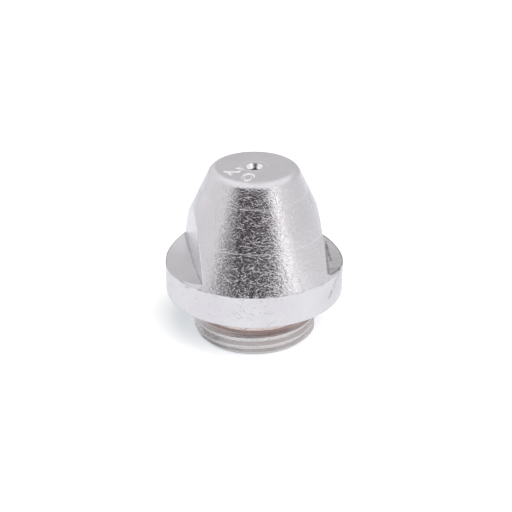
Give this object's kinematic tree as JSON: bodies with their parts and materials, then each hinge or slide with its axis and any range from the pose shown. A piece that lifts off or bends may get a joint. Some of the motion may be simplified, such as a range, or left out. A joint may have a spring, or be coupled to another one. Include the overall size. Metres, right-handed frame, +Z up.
{
  "type": "screw-in conical nozzle tip",
  "caption": "Screw-in nozzle tip: a truncated cone with a small central orifice, two wrench flats, a round flange and a short threaded spigot below a relief groove.",
  "frame": {"origin": "centre of the threaded end face, on the axis; the part stands on that face", "axes": "+Z up the axis to the tip, +X square to one wrench flat, +Y along the flats"},
  "size_m": [0.016, 0.016, 0.0161],
  "materials": {
    "plated_metal": "bright nickel-like plating over brass, tumbled, with fine scratches and small dents"
  },
  "bodies": {
    "root": {"nozzle_body": "plated_metal"}
  },
  "joints": []
}
